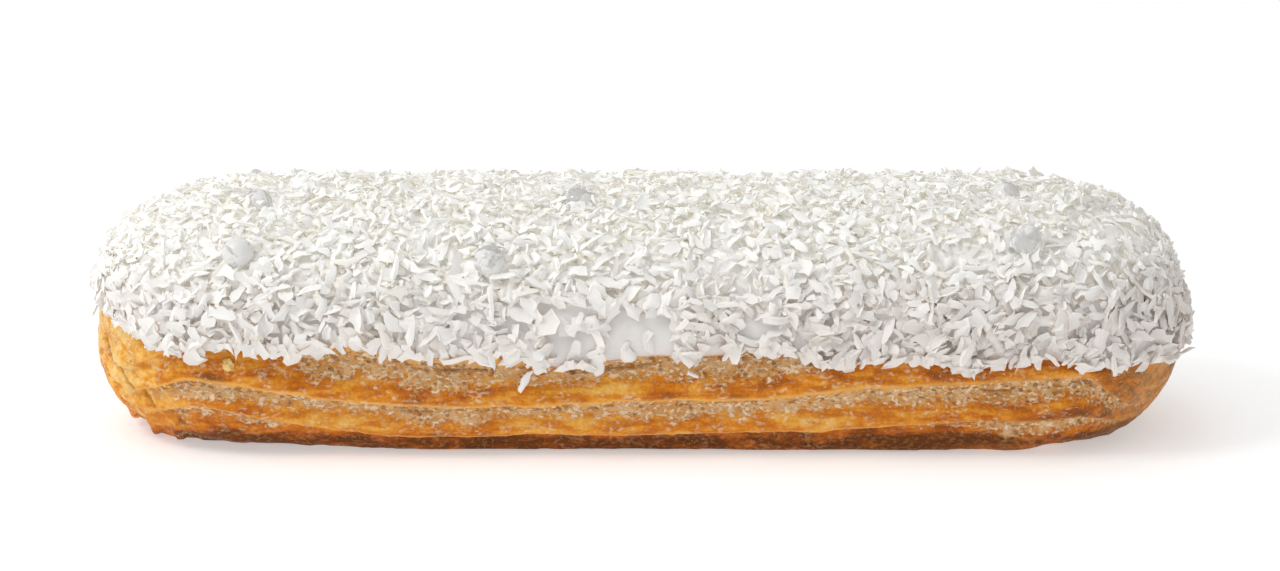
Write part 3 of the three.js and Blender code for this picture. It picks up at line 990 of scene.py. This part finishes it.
def pearl_domes(pile):
    """Stands the pearls in the pile, so that flakes settle round them."""
    disc = np.linspace(-PEARL_RADIUS, PEARL_RADIUS, PEARL_GRID)
    along, round_bar = (grid.reshape(-1) for grid in np.meshgrid(disc, disc))
    inside = along ** 2 + round_bar ** 2 < PEARL_RADIUS ** 2
    along, round_bar = along[inside], round_bar[inside]
    top = np.sqrt(PEARL_RADIUS ** 2 - along ** 2 - round_bar ** 2) - ICING_COAT
    for x, angle, height in PEARLS:
        pile.raise_to(pile.at(x, angle, along, round_bar), height + top)


def bare_share(x, angle):
    """Share of these places that lie in the patches where the icing stays bare."""
    bare = np.zeros(x.shape, bool)
    for centre, turned, length, height in BARE_PATCHES:
        bare |= ((x - centre) / length) ** 2 + ((angle - turned) / height) ** 2 < 1
    return bare.mean()


def flake_places(random):
    """An endless even spread of places on the icing, as X, angle and height above the icing's edge."""
    widest = ring_radius(0.0)
    step = 0
    while True:
        step += 1
        x = float(x_along(CROWN_WAY[-1] * ((step / PLASTIC_NUMBER) % 1)))
        angle = FIRST_ANGLE + ANGLE_RANGE * ((step / PLASTIC_NUMBER ** 2) % 1)
        if random.random() > ring_radius(x) / widest:
            continue
        point = bar_point(np.array([x]), np.array([angle]), ICING_COAT)[0]
        above_edge = point[2] - float(icing_edge(point[0], point[1]))
        if above_edge > EDGE_MARGIN:
            yield x, angle, above_edge


def settle(pile, place, length, width, thickness, random):
    """Lays one flake on the pile. Returns its centre and axes, or None where the pile is high enough."""
    x, angle, above_edge = place
    spin = random.uniform(0, 2 * np.pi)
    if above_edge < EDGE_BAND and random.random() < HANGING_SHARE:
        spin = -np.pi / 2 + random.normal(0, HANGING_SPREAD)
    spots = np.meshgrid(*(np.linspace(-1, 1, count) for count in FOOTPRINT))
    lengths, widths = (grid.reshape(-1) for grid in spots)
    along = lengths * length / 2
    side = widths * width / 2
    cos, sin = np.cos(spin), np.sin(spin)
    forward_by = along * cos - side * sin
    round_by = along * sin + side * cos
    bare = bare_share(x + forward_by, angle + np.degrees(round_by / ring_radius(x)))
    if bare > BARE_OVERLAP and random.random() > BARE_SCATTER:
        return None
    cell = pile.at(x, angle, forward_by, round_by)
    limit = pile.limit[cell].mean()
    floor = pile.floor[cell]
    support = np.minimum(pile.height[cell], floor + limit + PILE_OVERFLOW)
    if (support - floor).mean() > limit:
        return None
    slope_along = np.sum(lengths * support) / np.sum(lengths ** 2) / (length / 2)
    slope_side = np.sum(widths * support) / np.sum(widths ** 2) / (width / 2)
    slope_along += np.tan(np.radians(random.normal(0, FLAKE_LEAN)))
    slope_side += np.tan(np.radians(random.normal(0, FLAKE_ROLL)))
    slope_along, slope_side = np.clip([slope_along, slope_side], -STEEPEST, STEEPEST)
    lie = slope_along * along + slope_side * side
    base = np.median(support - lie) + thickness / 2
    pile.raise_to(cell, base + lie + thickness / 2)
    origin, forward, round_bar, out = coat_frame(x, angle, ICING_COAT)
    length_axis = unit(cos * forward + sin * round_bar + slope_along * out)
    side_axis = cos * round_bar - sin * forward + slope_side * out
    side_axis = unit(side_axis - length_axis * (side_axis @ length_axis))
    return origin + base * out, np.stack([length_axis, side_axis, np.cross(length_axis, side_axis)])


def loose_flakes():
    """Centres, axes, lengths and widths of the flakes that lie on the choux itself."""
    settled = []
    for x, angle, spin, length, width in LOOSE_FLAKES:
        origin, forward, round_bar, out = coat_frame(x, angle, LOOSE_STAND)
        cos, sin = np.cos(np.radians(spin)), np.sin(np.radians(spin))
        axes = np.stack([cos * forward + sin * round_bar, cos * round_bar - sin * forward, out])
        settled.append((origin, axes, length, width))
    return settled


def flake_faces(count, rings, size):
    """Faces of count closed tubes, each of rings of size points."""
    fan = np.arange(1, size - 1)
    start = np.stack([0 * fan, fan, fan + 1], -1)
    end = (rings - 1) * size + np.stack([0 * fan, fan + 1, fan], -1)
    offset = (np.arange(count) * rings * size)[:, None, None]
    quads = ring_quads(rings, size)[None] + offset
    caps = np.concatenate([start, end])[None] + offset
    return quads.reshape(-1, 4).tolist() + caps.reshape(-1, 3).tolist()


def flake_outline(kind, share, over, length, width, random):
    """Places along and across flakes with torn edges, and the outline by which they narrow to their ends."""
    one_each = length.shape
    ends = 1 - random.uniform(*kind["ends"], (2, *one_each))
    power = random.uniform(*END_POWERS, one_each)
    outline = 1 - ends[0] * np.maximum(-share, 0) ** power - ends[1] * np.maximum(share, 0) ** power
    edges = 1 + random.normal(0, FLAKE_EDGE, (len(length), share.size, 2))
    reach = np.where(over < 0, edges[..., :1], edges[..., 1:])
    skew = random.normal(0, FLAKE_SKEW, one_each)
    end_tear = random.normal(0, END_TEAR, reach.shape) * np.abs(share) ** END_TEAR_POWER
    along = length / 2 * (share + skew * over * width / length + end_tear)
    sway = FLAKE_SWAY * width * random.normal(0, 1, one_each) * share ** 2
    side = width / 2 * over * outline * reach + sway
    return along, side, outline


def flake_lift(kind, share, over, outline, length, width, random):
    """Heights of flakes that are bent, curled, twisted and crinkled, and thinner at their ends."""
    one_each = length.shape
    bend = random.normal(*FLAKE_BEND, one_each) * length
    curl = random.normal(*FLAKE_CURL, one_each) * width
    twist = random.normal(0, FLAKE_TWIST, one_each) * width
    thickness = kind["thickness"] * random.uniform(*FLAKE_THINNESS, one_each)
    face = np.concatenate([np.ones(kind["across"]), -np.ones(kind["across"] - 2)])
    ends_off = END_THICKNESS + (1 - END_THICKNESS) * outline
    lift = bend * share ** 2 + curl * over ** 2 * outline + twist * share * over
    lift = lift + face * thickness / 2 * np.sqrt(1 - over ** 2) * ends_off
    return lift + random.normal(0, CRINKLE, lift.shape)


def flake_mesh(name, kind, settled, material, random):
    """All flakes of a kind as one mesh of flat slips."""
    centres, axes, length, width = (np.array(values) for values in zip(*settled))
    one_each = (len(settled), 1, 1)
    length, width = length.reshape(one_each), width.reshape(one_each)
    share = np.linspace(-1, 1, kind["steps"] + 1)[None, :, None]
    top = np.sin(np.linspace(-np.pi / 2, np.pi / 2, kind["across"]))
    over = np.concatenate([top, top[-2:0:-1]])
    along, side, outline = flake_outline(kind, share, over, length, width, random)
    lift = flake_lift(kind, share, over, outline, length, width, random)
    local = np.stack([along, side, lift], -1)
    points = centres[:, None, None, :] + np.einsum("fsra,fax->fsrx", local, axes)
    # Painted shade mask: higher down the sides of the coat and towards the right
    to_right = SHADE_AT_LEFT + (1 - SHADE_AT_LEFT) * smooth_step(*SHADE_STEP, points[..., 0])
    attributes = {
        "tint": np.broadcast_to(random.random(one_each), along.shape),
        "shade_to_edge": smooth_step(*SHADE_HEIGHTS, points[..., 2]) * to_right,
        "along": along,
        "side": side,
    }
    piece = add_mesh(name, points, flake_faces(*along.shape), material, attributes)
    piece.data.set_sharp_from_angle(angle=np.radians(FLAKE_SHARP))
    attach(piece, "root")


def make_coconut(material):
    random = np.random.default_rng(SEED)
    pile = Pile()
    pearl_domes(pile)
    places = flake_places(random)
    order = np.concatenate([np.full(kind["count"], name) for name, kind in FLAKE_KINDS.items()])
    random.shuffle(order)
    settled = {name: [] for name in FLAKE_KINDS}
    settled["coconut_flakes"] += loose_flakes()
    for name in order:
        kind = FLAKE_KINDS[name]
        place = next(places)
        from_side = min(place[1], 180 - place[1])
        coarse = COARSE[0] + (COARSE[1] - COARSE[0]) * smooth_step(*COARSE_STEP, from_side)
        length = coarse * random.uniform(*kind["length"])
        width = coarse * random.uniform(*kind["width"])
        laid = settle(pile, place, length, width, kind["thickness"], random)
        if laid is not None:
            settled[name].append((*laid, length, width))
    for name, flakes in settled.items():
        flake_mesh(name, FLAKE_KINDS[name], flakes, material, random)


# Pearls and crumbs

def lump(radius, seed, detail, uneven, size, squash):
    """Points and faces of a rounded lump, uneven by a share of its radius."""
    ball = bmesh.new()
    bmesh.ops.create_icosphere(ball, subdivisions=detail, radius=1)
    points = np.array([vertex.co[:] for vertex in ball.verts])
    faces = np.array([[vertex.index for vertex in face.verts] for face in ball.faces])
    ball.free()
    points = points * (1 + uneven * field(points, size, seed, LUMP_OCTAVES))[:, None] * (1, 1, squash)
    return points * radius, faces


def add_lumps(name, places, material, form):
    """Lumps stood on the bar as one mesh: each place is X, angle, height above the choux and radius."""
    skins = []
    faces = []
    for number, (x, angle, grow, radius) in enumerate(places):
        points, made = lump(radius, number + FIRST_LUMP_SEED, *form)
        origin, forward, round_bar, out = coat_frame(x, angle, grow)
        faces.append(made + sum(len(skin) for skin in skins))
        skins.append(origin + points @ np.stack([forward, round_bar, out]))
    return add_mesh(name, np.concatenate(skins), np.concatenate(faces).tolist(), material)


def make_pearls(material):
    places = [(*pearl, PEARL_RADIUS) for pearl in PEARLS]
    pearls = add_lumps("sugar_pearls", places, material, PEARL_FORM)
    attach(pearls, "root")


def make_crumbs(material):
    places = [(x, angle, CRUMB_STAND, radius) for x, angle, radius in CRUMBS]
    crumbs = add_lumps("choux_crumbs", places, material, CRUMB_FORM)
    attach(crumbs, "root")


# Stage

def add_floor():
    bpy.ops.mesh.primitive_plane_add(size=FLOOR_SIZE, location=(0, 0, FLOOR_HEIGHT))
    floor = bpy.context.object
    floor.name = "floor"
    floor.data.materials.append(floor_material())


def add_area_light(name, place, size, power):
    light = bpy.data.lights.new(name, "AREA")
    light.energy = power
    light.size = size
    lamp = bpy.data.objects.new(name, light)
    bpy.context.scene.collection.objects.link(lamp)
    lamp.location = place
    lamp.rotation_euler = (Vector(LIGHT_TARGET) - Vector(place)).to_track_quat("-Z", "Y").to_euler()


def add_dome():
    """White light from all round, brightest on one side."""
    world = bpy.data.worlds.new("soft_white")
    world.use_nodes = True
    nodes = world.node_tree.nodes
    links = world.node_tree.links
    facing = nodes.new("ShaderNodeVectorMath")
    facing.operation = "DOT_PRODUCT"
    facing.inputs[1].default_value = Vector(DOME_BRIGHTEST).normalized()
    links.new(nodes.new("ShaderNodeTexCoord").outputs["Generated"], facing.inputs[0])
    strength = nodes.new("ShaderNodeMapRange")
    links.new(facing.outputs["Value"], strength.inputs["Value"])
    strength.inputs["From Min"].default_value = -1
    strength.inputs["To Min"].default_value = DOME_STRENGTH[0]
    strength.inputs["To Max"].default_value = DOME_STRENGTH[1]
    nodes["Background"].inputs["Color"].default_value = (1, 1, 1, 1)
    links.new(strength.outputs["Result"], nodes["Background"].inputs["Strength"])
    bpy.context.scene.world = world


def add_lights():
    for name, (place, size, power) in LIGHTS.items():
        add_area_light(name, place, size, power)
    add_dome()
    bpy.context.scene.view_settings.view_transform = "Standard"
    bpy.context.scene.cycles.diffuse_bounces = LIGHT_BOUNCES
    bpy.context.scene.cycles.max_bounces = LIGHT_BOUNCES


def add_camera():
    elevation = math.radians(CAMERA_ELEVATION)
    away = Vector((0, -math.cos(elevation), math.sin(elevation)))
    upwards = Vector((0, math.sin(elevation), math.cos(elevation)))
    lens = bpy.data.cameras.new("photo_camera")
    lens.lens = CAMERA_LENS
    lens.clip_start = CAMERA_NEAR
    camera = bpy.data.objects.new("photo_camera", lens)
    bpy.context.scene.collection.objects.link(camera)
    camera.location = Vector(CAMERA_TARGET) + CAMERA_DISTANCE * away + CAMERA_LIFT * upwards
    camera.rotation_euler = (-away).to_track_quat("-Z", "Y").to_euler()
    bpy.context.scene.camera = camera


add_camera()
add_lights()
add_floor()
make_choux(choux_material())
make_icing(icing_material())
make_coconut(coconut_material())
make_pearls(pearl_material())
make_crumbs(crumb_material())
